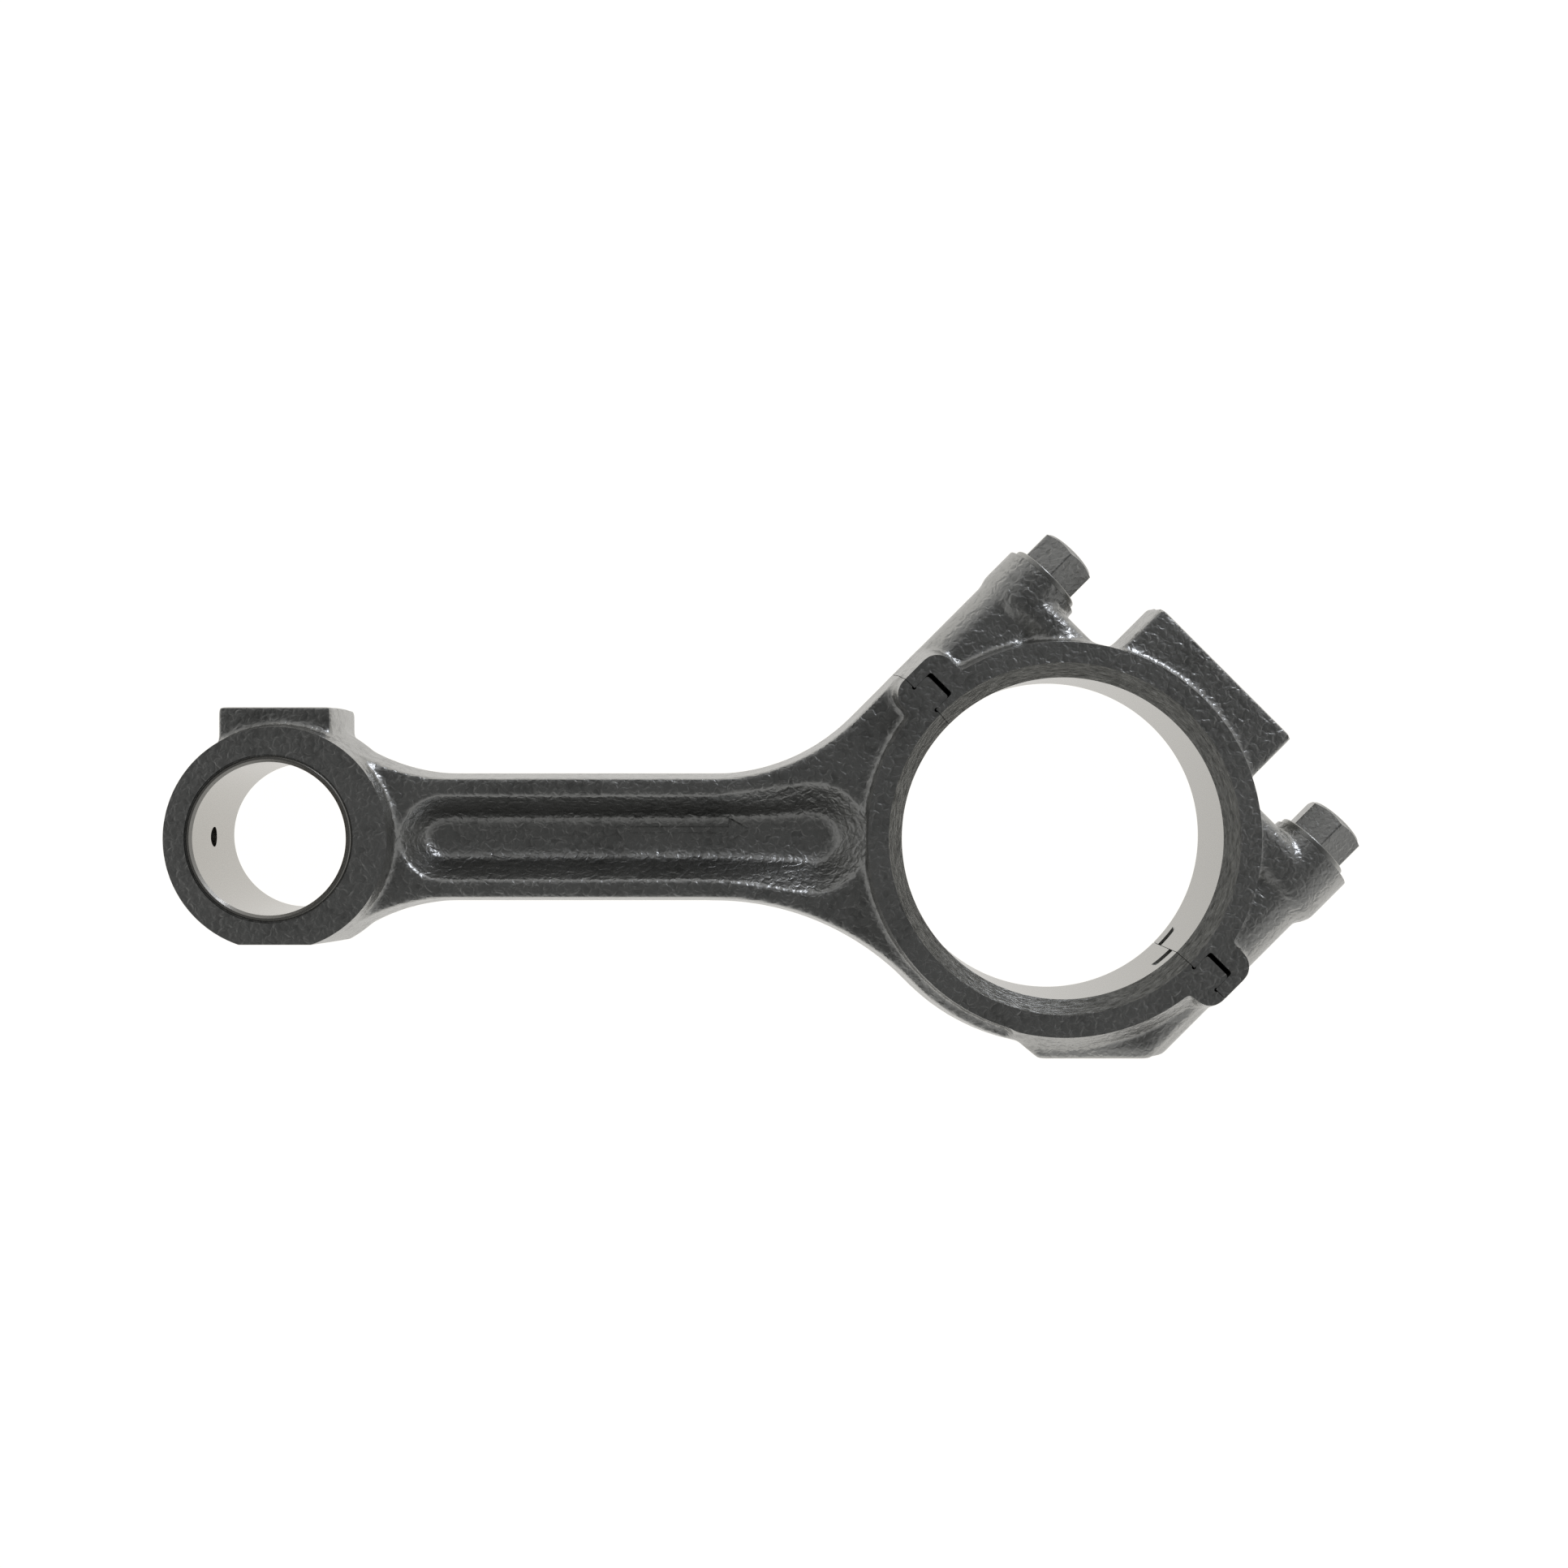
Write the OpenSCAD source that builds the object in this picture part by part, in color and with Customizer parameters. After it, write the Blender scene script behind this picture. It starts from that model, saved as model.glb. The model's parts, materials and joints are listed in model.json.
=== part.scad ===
// Connecting rod of a mid-size diesel engine, forged in one blank and split at 45 degrees.
// The rod lies flat: both bores run along Z, and the origin is the centre of the big end
// bore at half width. The small end is at minus X. The cap comes off along plus X plus Y.
// Lengths are in millimetres.

/* [Whole rod] */

// Distance between the centres of the big end bore and the small end bore
centre_distance = 203; // [195:1:215]
// Width of both ends across their machined faces
end_width = 38; // [36:0.5:40]

/* [Big end] */

// Diameter of the big end bore
big_bore_d = 82.68; // [81:0.01:83.5]
// Outside diameter of the big end ring at its machined faces
big_ring_d = 100.5; // [99.5:0.1:102]
// Depth of the chamfer at both mouths of the big end bore
big_chamfer = 3.6; // [2:0.1:4]
// Distance between the two cap bolts
bolt_spacing = 100; // [99:0.5:102]
// Reach of the joint lugs from the rod's axis to their outer face
lug_reach = 57.6; // [57:0.1:58.5]
// Height of the bolt seats above the joint face
seat_height = 45; // [42:0.5:48]
// Distance from the bore centre to the flat of the balance pad on the cap
cap_pad_reach = 60.4; // [58:0.2:63]

/* [Joint] */

// Width of the tongue on each joint face
tongue_width = 7.6; // [6:0.2:8]
// Height of the tongue
tongue_height = 4.6; // [3:0.1:5]
// Gap left above the tongue in the groove of the cap
tongue_gap = 1.3; // [0.5:0.1:1.5]

/* [Small end] */

// Bore of the pressed-in bush
pin_bore_d = 39.2; // [37:0.1:39.6]
// Outside diameter of the bush
bush_d = 42.3; // [42:0.1:43]
// Diameter of the eye at its machined faces
eye_d = 57.14; // [56:0.1:59]
// Diameter of the splash oil hole through the eye and the bush
oil_hole_d = 5.3; // [3:0.1:7]

/* [Shank] */

// Height of the shank across its two flanges
shank_height = 33.6; // [32:0.2:35]
// Thickness of the shank across the flanges
flange_width = 26; // [22:0.5:28]
// Thickness of the web between the two pockets
web_thickness = 7.6; // [6:0.2:10]

/* [Cap bolts] */

// Major diameter of the fine thread
thread_d = 11.1; // [10:0.1:11.1]
// Width across the flats of the hexagon head
hex_flats = 16; // [15:0.5:17]
// Height of the hexagon head
hex_height = 8.4; // [7:0.2:10]
// Outside diameter of the hardened washers
washer_d = 20.2; // [19:0.1:21]
// Thickness of the hardened washers
washer_t = 1.8; // [1.5:0.1:2.5]

/* [Hidden] */

$fn = 96;
eps = 0.01;

half_w = end_width / 2;
bore_r = big_bore_d / 2;
ring_r = big_ring_d / 2;
ring_swell = 2.15;
land_step = 0.25;
beyond = 90;
bolt_q = bolt_spacing / 2;

// Joint lugs, measured along the bolts from the joint face
lug_low = -5.2;
lug_high = 11.4;
lug_corner_r = 4;
lug_fillet_r = 5;
lug_fillet_bite = 0.4;
lug_root = 30;

// Bosses around the bolts
boss_r = 10.6;
upper_seat_r = 11.3;
upper_seat_start = 34;
lower_seat_r = 11.8;
lower_seat_shift = 1;
lower_seat_start = 31;
rod_boss_start = -30;
lower_rod_boss_start = -18;
bolt_hole_bottom = -24;
bolt_tip = -17;
bolt_taper = 1;
thread_clearance = 0.05;
shank_clearance = 0.35;
joint_play = 0.05;

// Chamfer and dome of the hexagon heads
hex_rim = 0.3;
dome_r = 3;
dome_h = 1.1;

// Bearing shell notches, milled with a small round cutter
notch_w = 4.1;
notch_cut_r = 9.6;
notch_depth = 1.8;
cap_notch_z = -7;
rod_notch_z = 8;

// Pads left on the forging for weighing and for holding it in the machine
pad_half_z = 13.65;
cap_pad_half = 24.5;
rod_pad_y = -57.5;
rod_pad_slope = [-11.7, -52.1];
rod_pad_start = -5.4;
rod_pad_line = 57.2;
eye_pad_x = [-217.5, -188.2];
eye_pad_y = 33.8;

// Small end
small_x = -centre_distance;
eye_shift = 1.66;
eye_x = small_x + eye_shift;
eye_r = eye_d / 2;
eye_swell = 2.3;
eye_flat_y = -27;
bush_chamfer = 0.7;
bush_edge = 0.3;
groove_w = 0.35;
groove_depth = 0.9;

// Shank, its flares and its pockets
shank_half = shank_height / 2;
flange_half = flange_width / 2;
web_half = web_thickness / 2;
flare_x = -90;
upper_flare_r = 50.8;
lower_flare_r = 73.5;
small_flare_x = -157;
small_flare_r = 49;
flare_line = (shank_half + upper_flare_r - flare_x) / sqrt(2) - upper_flare_r;
lower_wrap_r = 54;
pocket_lip = 10.9;
pocket_floor = 5;
pocket_small_x = -160;
pocket_mid_x = -90;
pocket_big_x = -64;
pocket_big_lip = 14;
pocket_big_floor = 5.6;
arrow_h = 0.6;
arrow_x = [-112, -81];
arrow_y = 2;

// Turns X to the bolts' direction and Y to the direction across them
module bolt_frame() {
    rotate([0, 0, 45]) children();
}

// Turns Z to the bolts' direction, centred on the bolt at the given distance across
module on_bolt(q) {
    bolt_frame() translate([0, q, 0]) rotate([0, 90, 0]) children();
}

// Round forging, widest at the parting plane
module drafted_disc(face_r, swell, width) {
    cylinder(h = width / 2, r1 = face_r + swell, r2 = face_r);
    translate([0, 0, -width / 2]) cylinder(h = width / 2, r1 = face_r, r2 = face_r + swell);
}

// Corner patch of a concave fillet: the polygon less the round of the given radius
module fillet_patch(points, centre, r) {
    difference() {
        polygon(points);
        translate(centre) circle(r = r, $fn = 180);
    }
}

// Outline of one lug, with rounded outer corners and fillets into the ring
module lug_outline() {
    length = lug_high - lug_low;
    translate([lug_low, lug_root]) square([length, lug_reach - lug_corner_r - lug_root]);
    translate([lug_low + lug_corner_r, lug_root])
        square([length - 2 * lug_corner_r, lug_reach - lug_root]);
    for (p = [lug_low + lug_corner_r, lug_high - lug_corner_r])
        translate([p, lug_reach - lug_corner_r]) circle(r = lug_corner_r);
    lug_fillet(lug_high, 1);
    lug_fillet(lug_low, -1);
}

// Fillet between the ring and the side of a lug
module lug_fillet(edge, way) {
    centre_p = edge + way * lug_fillet_r;
    far = ring_r + lug_fillet_r - lug_fillet_bite;
    centre_q = sqrt(far * far - centre_p * centre_p);
    share = (ring_r - lug_fillet_bite) / far;
    fillet_patch([[edge - way, centre_q], [edge, centre_q],
                  [centre_p * share, centre_q * share],
                  [centre_p * share - way * 3, centre_q * share - 4],
                  [edge - way, centre_q - 12]],
                 [centre_p, centre_q], lug_fillet_r);
}

// Material of the ring and the joint lugs, shared by the rod and the cap
module ring_and_lugs() {
    drafted_disc(ring_r - land_step, ring_swell + land_step, end_width - 2 * land_step);
    bolt_frame() translate([0, 0, -half_w]) linear_extrude(height = end_width) {
        circle(r = ring_r, $fn = 180);
        lug_outline();
        mirror([0, 1]) lug_outline();
    }
}

// Big end bore with a chamfer at each mouth
module big_bore() {
    cylinder(h = end_width + 2, r = bore_r, center = true);
    for (side = [-1, 1])
        translate([0, 0, side * (half_w - big_chamfer / 2)])
            cylinder(h = big_chamfer + eps, center = true,
                     r1 = bore_r + (side < 0 ? big_chamfer : 0),
                     r2 = bore_r + (side > 0 ? big_chamfer : 0));
}

// Notch for the tang of a bearing shell, in the lower joint
module tang_notch(z) {
    bolt_frame()
        translate([0, -(bore_r + notch_depth - notch_cut_r), z - notch_w / 2])
            cylinder(h = notch_w, r = notch_cut_r);
}

// Tongues on the joint face, widened by the play given
module tongues(play, height) {
    bolt_frame()
        for (side = [-1, 1])
            translate([-eps, side * (bolt_q + 0.4) - tongue_width / 2 - play, -half_w - 1])
                cube([height + eps, tongue_width + 2 * play, end_width + 2]);
}

// Everything on the cap's side of the joint
module cap_side() {
    bolt_frame() translate([0, -beyond, -end_width]) cube([beyond, 2 * beyond, 2 * end_width]);
}

// Outline of the shank with its flares, seen along the bores
module shank_outline() {
    translate([eye_x, -shank_half]) square([-eye_x - 30, shank_height]);
    fillet_patch([[flare_x, shank_half - 1], [flare_x, shank_half],
                  [flare_x + upper_flare_r * (1 + 1 / sqrt(2)) - upper_flare_r,
                   shank_half + upper_flare_r - upper_flare_r / sqrt(2)],
                  [-43, 30], [-40, shank_half - 1]],
                 [flare_x, shank_half + upper_flare_r], upper_flare_r);
    upper_flare_side();
    lower_flare();
    for (side = [-1, 1]) small_flare(side);
}

// Straight side of the upper flare, along the upper bolt
module upper_flare_side() {
    intersection() {
        rotate([0, 0, 45]) translate([-40, 30]) square([40, flare_line - 30]);
        translate([flare_x, shank_half])
            polygon([[0, 0], [36, 14.6], [90, 80], [90, 0], [20, -20]]);
        rotate([0, 0, 45]) translate([-16.4, 20]) square([17, 45]);
    }
}

// Lower flare, wrapping under the ring to the pad
module lower_flare() {
    cy = -shank_half - lower_flare_r;
    reach = sqrt(flare_x * flare_x + cy * cy);
    share = lower_wrap_r / reach;
    fillet_patch([[flare_x, 0], [flare_x, -shank_half],
                  [flare_x * share, cy * share], [-30, -30], [-30, 0]],
                 [flare_x, cy], lower_flare_r);
    intersection() {
        circle(r = lower_wrap_r, $fn = 180);
        polygon([[0, 0], [flare_x * share * 1.5, cy * share * 1.5], [-20, -80], [6, -70]]);
    }
}

// Flare between the shank and the eye
module small_flare(side) {
    cy = shank_half + small_flare_r;
    reach = sqrt(pow(small_flare_x - eye_x, 2) + cy * cy);
    share = (reach - small_flare_r) / reach;
    fillet_patch([[small_flare_x, 0], [small_flare_x, side * shank_half],
                  [eye_x + (small_flare_x - eye_x) * share, side * cy * share],
                  [eye_x, side * 10], [eye_x, 0]],
                 [small_flare_x, side * cy], small_flare_r);
}

// Pocket in one side of the shank, with sloping walls and round ends
module pocket() {
    depth = flange_half - web_half;
    far = depth + 1;
    grow = 1 + 1 / depth;
    small_lip = pocket_floor + (pocket_lip - pocket_floor) * grow;
    big_lip = pocket_big_floor + (pocket_big_lip - pocket_big_floor) * grow;
    translate([pocket_small_x, 0, web_half]) cylinder(h = far, r1 = pocket_floor, r2 = small_lip);
    translate([pocket_big_x, 0, web_half])
        cylinder(h = far, r1 = pocket_big_floor, r2 = big_lip);
    translate([pocket_small_x, 0, web_half]) rotate([90, 0, 90])
        linear_extrude(height = pocket_big_x - pocket_small_x)
            polygon([[-pocket_floor, 0], [pocket_floor, 0], [small_lip, far],
                     [-small_lip, far]]);
    widening = atan((pocket_big_lip - pocket_lip) / (pocket_big_x - pocket_mid_x));
    for (side = [-1, 1])
        translate([pocket_mid_x, 0, web_half]) rotate([0, 0, side * widening])
            rotate([90, 0, 90])
                linear_extrude(height = pocket_big_x - pocket_mid_x)
                    polygon([[-pocket_floor, 0], [pocket_floor, 0], [small_lip, far],
                             [-small_lip, far]]);
}

// Plain raised arrow on the web, pointing to the big end
module arrow() {
    translate([0, 0, web_half - eps]) linear_extrude(height = arrow_h + eps) {
        translate([arrow_x[0], arrow_y - 0.7]) square([arrow_x[1] - arrow_x[0] - 5, 1.4]);
        polygon([[arrow_x[1] - 6, arrow_y - 2.2], [arrow_x[1], arrow_y],
                 [arrow_x[1] - 6, arrow_y + 2.2]]);
    }
}

// Boss and pad under the ring on the rod's side of the lower joint
module rod_pad() {
    translate([0, 0, -pad_half_z]) linear_extrude(height = 2 * pad_half_z)
        polygon([rod_pad_slope + [0, 14], rod_pad_slope, [rod_pad_start, rod_pad_y],
                 [rod_pad_line * sqrt(2) + rod_pad_y, rod_pad_y],
                 [rod_pad_line / sqrt(2), -rod_pad_line / sqrt(2)], [30, -30]]);
}

module rod_body() {
    color("DimGray") difference() {
        union() {
            ring_and_lugs();
            translate([eye_x, 0, 0]) drafted_disc(eye_r, eye_swell, end_width);
            translate([eye_pad_x[0], 0, -pad_half_z])
                cube([eye_pad_x[1] - eye_pad_x[0], eye_pad_y, 2 * pad_half_z]);
            difference() {
                translate([0, 0, -flange_half]) linear_extrude(height = flange_width)
                    shank_outline();
                pocket();
                mirror([0, 0, 1]) pocket();
            }
            arrow();
            rod_pad();
            on_bolt(bolt_q) translate([0, 0, rod_boss_start])
                cylinder(h = -rod_boss_start, r = boss_r);
            on_bolt(-bolt_q) translate([0, 0, lower_rod_boss_start])
                cylinder(h = -lower_rod_boss_start, r = boss_r);
        }
        difference() {
            cap_side();
            tongues(0, tongue_height);
        }
        big_bore();
        tang_notch_on_rod();
        for (q = [-bolt_q, bolt_q])
            on_bolt(q) translate([0, 0, bolt_hole_bottom])
                cylinder(h = 40, r = thread_d / 2 + thread_clearance);
        translate([small_x, 0, 0]) cylinder(h = end_width + 2, r = bush_d / 2, center = true);
        for (side = [-1, 1])
            translate([small_x, 0, side * half_w])
                cylinder(h = 2 * groove_depth, r = bush_d / 2 + groove_w, center = true);
        translate([small_x - 40, -40 + eye_flat_y, -half_w - 1])
            cube([80, 40, end_width + 2]);
        translate([small_x - 60, 0, 0]) rotate([0, 90, 0])
            cylinder(h = 60, r = oil_hole_d / 2);
    }
}

// Notch in the rod's half of the lower joint
module tang_notch_on_rod() {
    difference() {
        tang_notch(rod_notch_z);
        cap_side();
    }
}

// Boss under one bolt seat of the cap, thicker at the seat
module seat_boss(q, r, shift, start) {
    on_bolt(q) cylinder(h = seat_height - 1, r = boss_r);
    on_bolt(q + shift) translate([0, 0, start]) cylinder(h = seat_height - start, r = r);
}

module big_end_cap() {
    color("Gray") difference() {
        intersection() {
            union() {
                ring_and_lugs();
                seat_boss(bolt_q, upper_seat_r, 0, upper_seat_start);
                seat_boss(-bolt_q, lower_seat_r, -lower_seat_shift, lower_seat_start);
                bolt_frame() translate([40, -cap_pad_half, -pad_half_z])
                    cube([cap_pad_reach - 40, 2 * cap_pad_half, 2 * pad_half_z]);
            }
            cap_side();
        }
        tongues(joint_play, tongue_height + tongue_gap);
        big_bore();
        intersection() {
            tang_notch(cap_notch_z);
            cap_side();
        }
        for (q = [-bolt_q, bolt_q])
            on_bolt(q) translate([0, 0, -1])
                cylinder(h = seat_height + 2, r = thread_d / 2 + shank_clearance);
    }
}

// Hexagon cap bolt, turned about its own axis by the given angle
module cap_bolt(q, turn) {
    head = seat_height + washer_t;
    corner_r = hex_flats / sqrt(3);
    rim_r = hex_flats / 2 - hex_rim;
    wide = corner_r + 1;
    on_bolt(q) {
        translate([0, 0, bolt_tip + bolt_taper]) cylinder(h = head - bolt_tip, r = thread_d / 2);
        translate([0, 0, bolt_tip])
            cylinder(h = bolt_taper, r1 = thread_d / 2 - bolt_taper, r2 = thread_d / 2);
        rotate([0, 0, turn]) intersection() {
            translate([0, 0, head]) cylinder(h = hex_height + 2, r = corner_r, $fn = 6);
            translate([0, 0, head - 1])
                rotate_extrude()
                    polygon([[0, 0], [wide, 0],
                             [wide, hex_height + 1 - (wide - rim_r) * tan(30)],
                             [rim_r, hex_height + 1], [dome_r, hex_height + 1 + dome_h],
                             [0, hex_height + 1 + dome_h]]);
        }
    }
}

module cap_bolt_upper() {
    color("LightSlateGray") cap_bolt(bolt_q, 0);
}

module cap_bolt_lower() {
    color("LightSlateGray") cap_bolt(-bolt_q, 18);
}

// Hardened washer with rounded rims
module washer(q) {
    rim = 0.4;
    hole_r = thread_d / 2 + shank_clearance;
    on_bolt(q) translate([0, 0, seat_height])
        rotate_extrude()
            polygon([[hole_r, 0], [washer_d / 2 - rim, 0], [washer_d / 2, rim],
                     [washer_d / 2, washer_t - rim], [washer_d / 2 - rim, washer_t],
                     [hole_r, washer_t]]);
}

module washer_upper() {
    color("SlateGray") washer(bolt_q);
}

module washer_lower() {
    color("SlateGray") washer(-bolt_q);
}

module small_end_bush() {
    inner_r = pin_bore_d / 2;
    outer_r = bush_d / 2;
    color("DarkKhaki") difference() {
        translate([small_x, 0, -half_w])
            rotate_extrude()
                polygon([[inner_r + bush_chamfer, 0], [outer_r - bush_edge, 0],
                         [outer_r, bush_edge], [outer_r, end_width - bush_edge],
                         [outer_r - bush_edge, end_width],
                         [inner_r + bush_chamfer, end_width],
                         [inner_r, end_width - bush_chamfer], [inner_r, bush_chamfer]]);
        translate([small_x - 60, 0, 0]) rotate([0, 90, 0])
            cylinder(h = 60, r = oil_hole_d / 2);
    }
}

rod_body();
big_end_cap();
cap_bolt_upper();
cap_bolt_lower();
washer_upper();
washer_lower();
small_end_bush();
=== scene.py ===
"""Connecting rod of a diesel engine, with its split big end, cap bolts, washers and bush.

The rod lies flat with its bores upright. Lengths in the code are millimetres unless said.
"""

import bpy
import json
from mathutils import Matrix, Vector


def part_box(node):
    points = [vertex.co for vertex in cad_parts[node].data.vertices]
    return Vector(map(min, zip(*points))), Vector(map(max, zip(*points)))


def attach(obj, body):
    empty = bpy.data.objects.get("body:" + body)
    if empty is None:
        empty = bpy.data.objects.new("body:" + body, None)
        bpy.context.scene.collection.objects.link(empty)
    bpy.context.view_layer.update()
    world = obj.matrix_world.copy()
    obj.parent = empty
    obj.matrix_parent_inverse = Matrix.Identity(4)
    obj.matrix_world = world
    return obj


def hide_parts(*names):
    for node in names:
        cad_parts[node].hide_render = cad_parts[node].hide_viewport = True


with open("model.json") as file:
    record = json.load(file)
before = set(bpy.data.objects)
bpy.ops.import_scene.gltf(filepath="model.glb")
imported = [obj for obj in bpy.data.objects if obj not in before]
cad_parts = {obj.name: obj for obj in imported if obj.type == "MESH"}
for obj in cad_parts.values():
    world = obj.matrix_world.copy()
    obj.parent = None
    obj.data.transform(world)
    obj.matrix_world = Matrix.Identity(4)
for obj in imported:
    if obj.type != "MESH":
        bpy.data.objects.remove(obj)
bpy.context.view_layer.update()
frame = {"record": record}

import json
import math

import bpy
from bpy.props import FloatProperty, FloatVectorProperty, PointerProperty
from bpy.types import Operator, Panel, PropertyGroup
from mathutils import Vector

bl_info = {
    "name": "Connecting rod",
    "version": (1, 0, 0),
    "blender": (4, 5, 0),
    "location": "View3D > Sidebar > Rod",
    "description": "Forged connecting rod with a bolted cap, modelled piece by piece",
    "category": "Add Mesh",
}

MM = 0.001
DIAGONAL = math.pi / 4
HALF_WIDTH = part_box("rod_body")[1].z / MM
BORE_R = frame["record"]["mounts"][0]["dims"]["r_mm"]
PIN_R = frame["record"]["mounts"][1]["dims"]["r_mm"]
SMALL_X = frame["record"]["mounts"][1]["pos_m"][0] / MM

EYE_SHIFT = 1.66  # the eye is not quite concentric with its bore
FOOT = -6.0  # how far the parts of the blank reach under the parting plane

# The joint, along the bolts from its face and across them from the middle of the big end
TONGUE_Q, TONGUE_HALF = 50.4, 3.8
LUG_LOW, LUG_HIGH, LUG_FACE, LUG_MID = -5.2, 11.4, 57.6, 60.7
BOLT_TIP, THREAD_END, TAP_END = -17.0, 8.0, -24.0
OIL_WAY = 40.0
SPLIT = 0.16  # width of the parting line between the rod and its cap
BOSS_R, UPPER_SEAT_R, LOWER_SEAT_R = 10.6, 11.4, 11.8
LOWER_SEAT_SHIFT = 1  # the lower seat's boss stands further out than its bolt
TAP_PLAY, DRILL_PLAY = 0.05, 0.35  # radial play of a bolt in the rod and in the cap
CHAMFER_DEPTH = 4.0
NOTCH_R, NOTCH_DEPTH = 9.6, 1.8  # the cutter of the tang notches and how deep it goes
EYE_FLAT = -27  # the flat under the eye
THREAD_PHASE = 1.3123  # keeps the square cuts off the thread's rows of vertices
BEYOND = 60  # past every surface of the forging


def srgb(code):
    """A hex colour as linear RGBA."""
    parts = [int(code[i:i + 2], 16) / 255 for i in (1, 3, 5)]
    return [c / 12.92 if c <= 0.04045 else ((c + 0.055) / 1.055) ** 2.4 for c in parts] + [1.0]


class ForgingSizes(PropertyGroup):
    """Sizes of the rod and its cap"""
    ring_mid: FloatProperty(
        name="Ring at the parting plane", description="Radius of the big end ring at half width",
        default=0.0524, subtype="DISTANCE", unit="LENGTH")
    ring_face: FloatProperty(
        name="Ring at its faces", description="Radius of the big end ring at its side faces",
        default=0.05025, subtype="DISTANCE", unit="LENGTH")
    eye_mid: FloatProperty(
        name="Eye at the parting plane", description="Radius of the small end eye at half width",
        default=0.0309, subtype="DISTANCE", unit="LENGTH")
    eye_face: FloatProperty(
        name="Eye at its faces", description="Radius of the small end eye at its side faces",
        default=0.02857, subtype="DISTANCE", unit="LENGTH")
    stock: FloatProperty(
        name="Machining stock", description="Metal forged on each side face and machined off",
        default=0.0015, subtype="DISTANCE", unit="LENGTH")
    shank_half: FloatProperty(
        name="Half height of the shank", description="From the middle of the shank to its edge",
        default=0.0168, subtype="DISTANCE", unit="LENGTH")
    flange_top: FloatProperty(
        name="Half thickness of the shank",
        description="From the middle of the shank to its flanges",
        default=0.013, subtype="DISTANCE", unit="LENGTH")
    pad_top: FloatProperty(
        name="Half thickness of the pads",
        description="From the middle of the rod to the pads' edge",
        default=0.01365, subtype="DISTANCE", unit="LENGTH")
    lean: FloatProperty(
        name="Draft", description="How far a flange wall leans in over half the thickness",
        default=0.0015, subtype="DISTANCE", unit="LENGTH")
    pocket_floor: FloatProperty(
        name="Half thickness of the web",
        description="From the middle of the shank to the pockets",
        default=0.004, subtype="DISTANCE", unit="LENGTH")
    chamfer: FloatProperty(
        name="Bore chamfer", description="Width of the chamfer at the mouths of the big end bore",
        default=0.0036, subtype="DISTANCE", unit="LENGTH")


class JointSizes(PropertyGroup):
    """Sizes of the joint between the rod and its cap, and of what bolts it"""
    bolt_half: FloatProperty(
        name="Half bolt spacing", description="From the middle of the big end to a cap bolt",
        default=0.05, subtype="DISTANCE", unit="LENGTH")
    seat: FloatProperty(
        name="Seat height", description="From the joint face to the bolts' seats",
        default=0.045, subtype="DISTANCE", unit="LENGTH")
    tongue: FloatProperty(
        name="Tongue height", description="Height of the tongues on the rod's joint face",
        default=0.0046, subtype="DISTANCE", unit="LENGTH")
    groove: FloatProperty(
        name="Groove depth", description="Depth of the grooves in the cap's joint face",
        default=0.0059, subtype="DISTANCE", unit="LENGTH")
    thread_r: FloatProperty(
        name="Thread radius", description="Outside radius of the bolts' thread",
        default=0.00555, subtype="DISTANCE", unit="LENGTH")
    pitch: FloatProperty(
        name="Thread pitch", description="Rise of the thread in one turn",
        default=0.00127, subtype="DISTANCE", unit="LENGTH")
    flats: FloatProperty(
        name="Across flats", description="Width of the hexagon heads",
        default=0.016, subtype="DISTANCE", unit="LENGTH")
    head: FloatProperty(
        name="Head height", description="Height of the hexagon heads under their crown",
        default=0.0084, subtype="DISTANCE", unit="LENGTH")
    washer_r: FloatProperty(
        name="Washer radius", description="Outside radius of the hardened washers",
        default=0.0101, subtype="DISTANCE", unit="LENGTH")
    washer_t: FloatProperty(
        name="Washer thickness", description="Thickness of the hardened washers",
        default=0.0018, subtype="DISTANCE", unit="LENGTH")
    bush_r: FloatProperty(
        name="Bush radius", description="Outside radius of the small end bush",
        default=0.02115, subtype="DISTANCE", unit="LENGTH")
    oil_r: FloatProperty(
        name="Oil hole radius", description="Radius of the hole that feeds the piston pin",
        default=0.00265, subtype="DISTANCE", unit="LENGTH")


class SteelColours(PropertyGroup):
    """Base colours of the metals"""
    forging: FloatVectorProperty(
        name="Forging", description="Shot-blasted, oiled forging steel",
        default=srgb("#939391"), size=4, subtype="COLOR")
    faced: FloatVectorProperty(
        name="Side faces", description="Ground side faces of both ends",
        default=srgb("#929290"), size=4, subtype="COLOR")
    bored: FloatVectorProperty(
        name="Bores", description="Finely bored steel",
        default=srgb("#959490"), size=4, subtype="COLOR")
    # The chamfer's darker colour is painted shade, not oxide: it keeps the bevel about as dark as
    # the side faces beside it
    chamfer: FloatVectorProperty(
        name="Chamfer", description="Coarsely turned chamfer, dark with oxide",
        default=srgb("#80807d"), size=4, subtype="COLOR")
    bolt: FloatVectorProperty(
        name="Bolts", description="Quenched and tempered bolt steel",
        default=srgb("#939391"), size=4, subtype="COLOR")
    washer: FloatVectorProperty(
        name="Washers", description="Hardened and ground washer steel",
        default=srgb("#969693"), size=4, subtype="COLOR")
    bush: FloatVectorProperty(
        name="Bush", description="Bored bush metal",
        default=srgb("#a5a39e"), size=4, subtype="COLOR")


# ---------------------------------------------------------------- modelling helpers


def size(name):
    """One of the forging or joint sizes, in millimetres."""
    scene = bpy.context.scene
    group = scene.forging_sizes if hasattr(scene.forging_sizes, name) else scene.joint_sizes
    return getattr(group, name) / MM


def deselect():
    """Leaves edit mode and deselects everything."""
    if bpy.context.object and bpy.context.object.mode != "OBJECT":
        bpy.ops.object.mode_set(mode="OBJECT")
    bpy.ops.object.select_all(action="DESELECT")


def take(obj):
    """Makes obj the one selected, active object."""
    deselect()
    obj.select_set(True)
    bpy.context.view_layer.objects.active = obj
    return obj


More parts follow.
